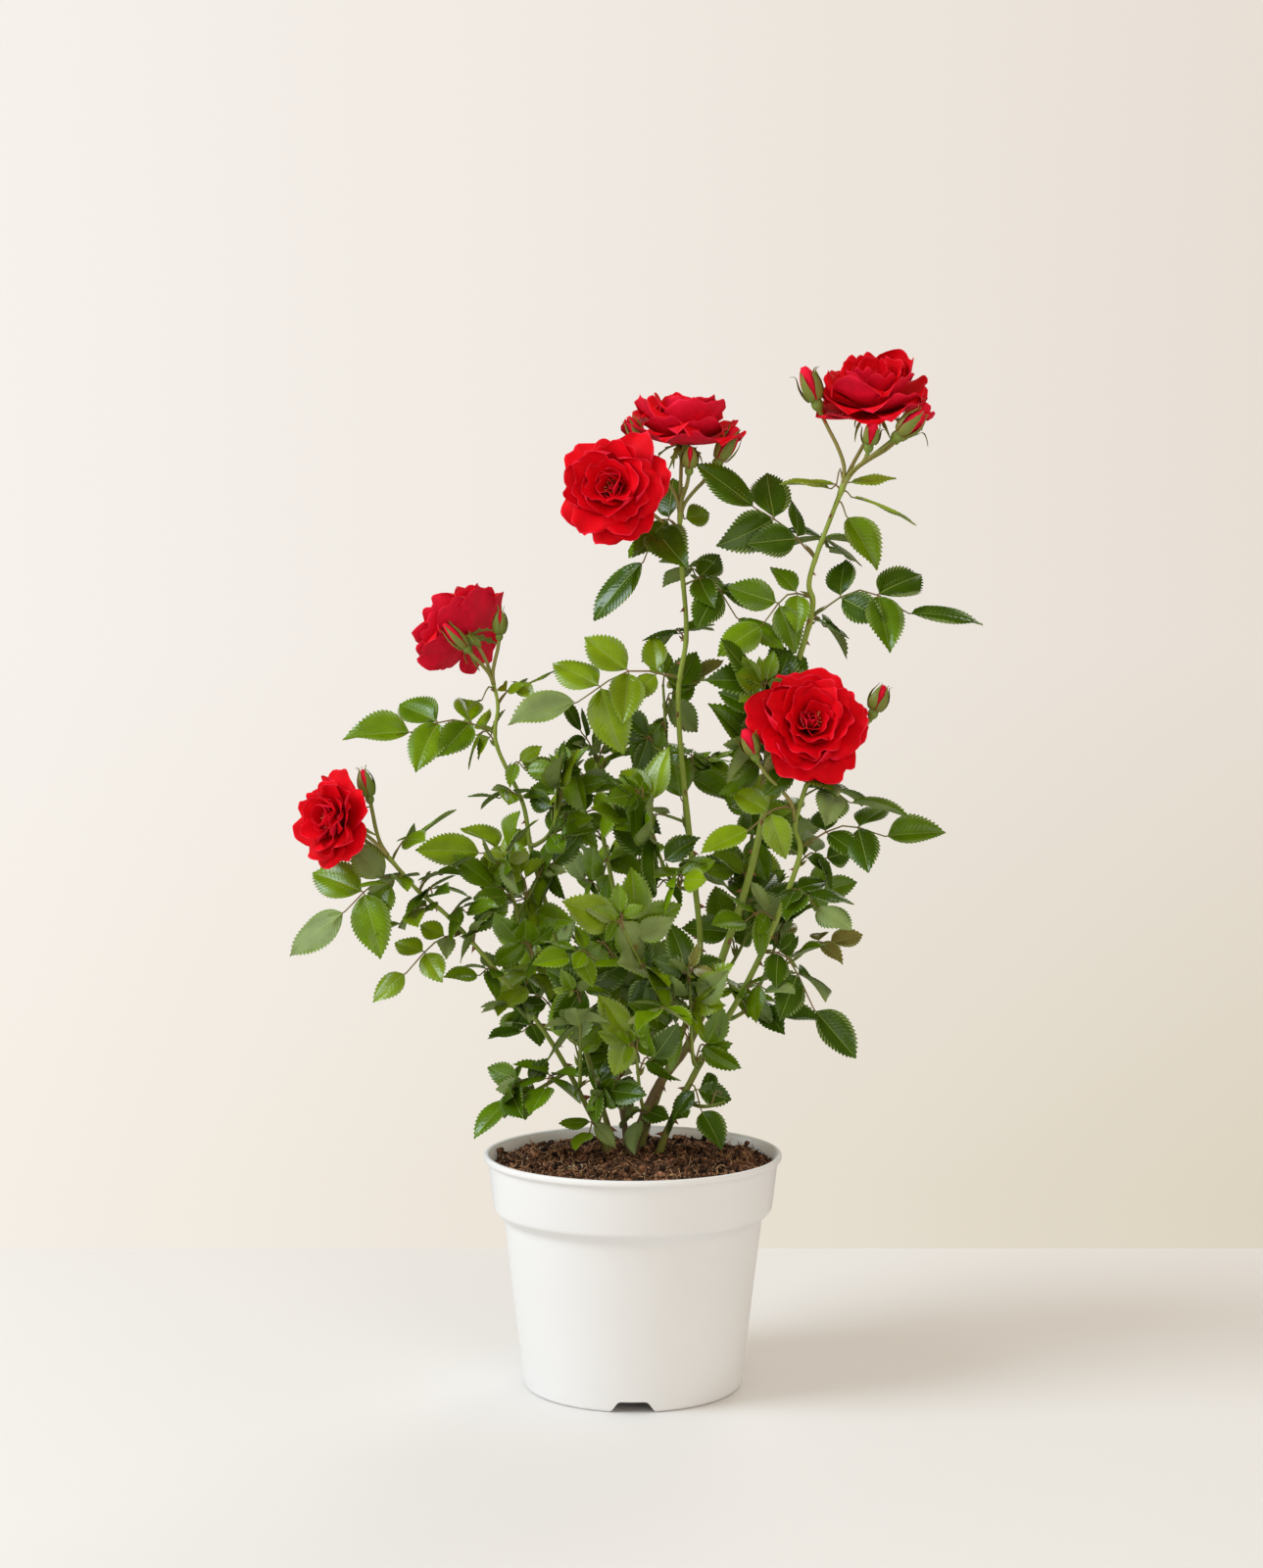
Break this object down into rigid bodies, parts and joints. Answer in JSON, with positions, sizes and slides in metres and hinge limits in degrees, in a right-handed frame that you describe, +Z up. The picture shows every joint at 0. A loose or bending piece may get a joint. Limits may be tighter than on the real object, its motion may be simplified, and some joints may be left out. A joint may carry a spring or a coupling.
{
  "type": "potted rose bush",
  "caption": "Red-flowering patio rose bush: upright canes with leafy side shoots and sprays of double blooms and buds, rooted in a tapered white plastic nursery pot.",
  "frame": {"origin": "centre of the pot's flat underside, on the surface that the pot stands on", "axes": "+Z up along the pot's axis, -Y towards the side that most flowers and leaves face, +X to the right seen from that side"},
  "size_m": [0.44, 0.2398, 0.6631],
  "materials": {
    "pot": "satin",
    "soil": "matte",
    "cane": "satin",
    "spray": "matte",
    "leaf": "satin",
    "petal": "matte",
    "sepal": "matte",
    "stalk": "satin",
    "stamen": "matte"
  },
  "bodies": {
    "root": {"pot": "pot", "soil": "soil", "cane_left": "cane", "cane_left_inner": "cane", "cane_middle": "cane", "cane_right_tall": "cane", "cane_right_low": "cane", "cane_back": "cane", "spray_left": "spray", "spray_left_inner": "spray", "spray_middle": "spray", "spray_right_tall": "spray", "spray_right_low": "spray", "spray_back": "spray", "foliage_front_low": "leaf", "foliage_front_left": "leaf", "foliage_front_right": "leaf", "foliage_front_middle": "leaf", "foliage_front_high": "leaf", "foliage_left_low": "leaf", "foliage_left": "leaf", "foliage_left_high": "leaf", "foliage_right_low": "leaf", "foliage_right": "leaf", "foliage_right_high": "leaf", "foliage_middle_high": "leaf", "foliage_middle_low": "leaf", "foliage_back_left": "leaf", "foliage_back_low": "leaf", "foliage_back_middle": "leaf", "foliage_back_right": "leaf", "foliage_back_high": "leaf", "foliage_right_back": "leaf"}
  },
  "joints": []
}
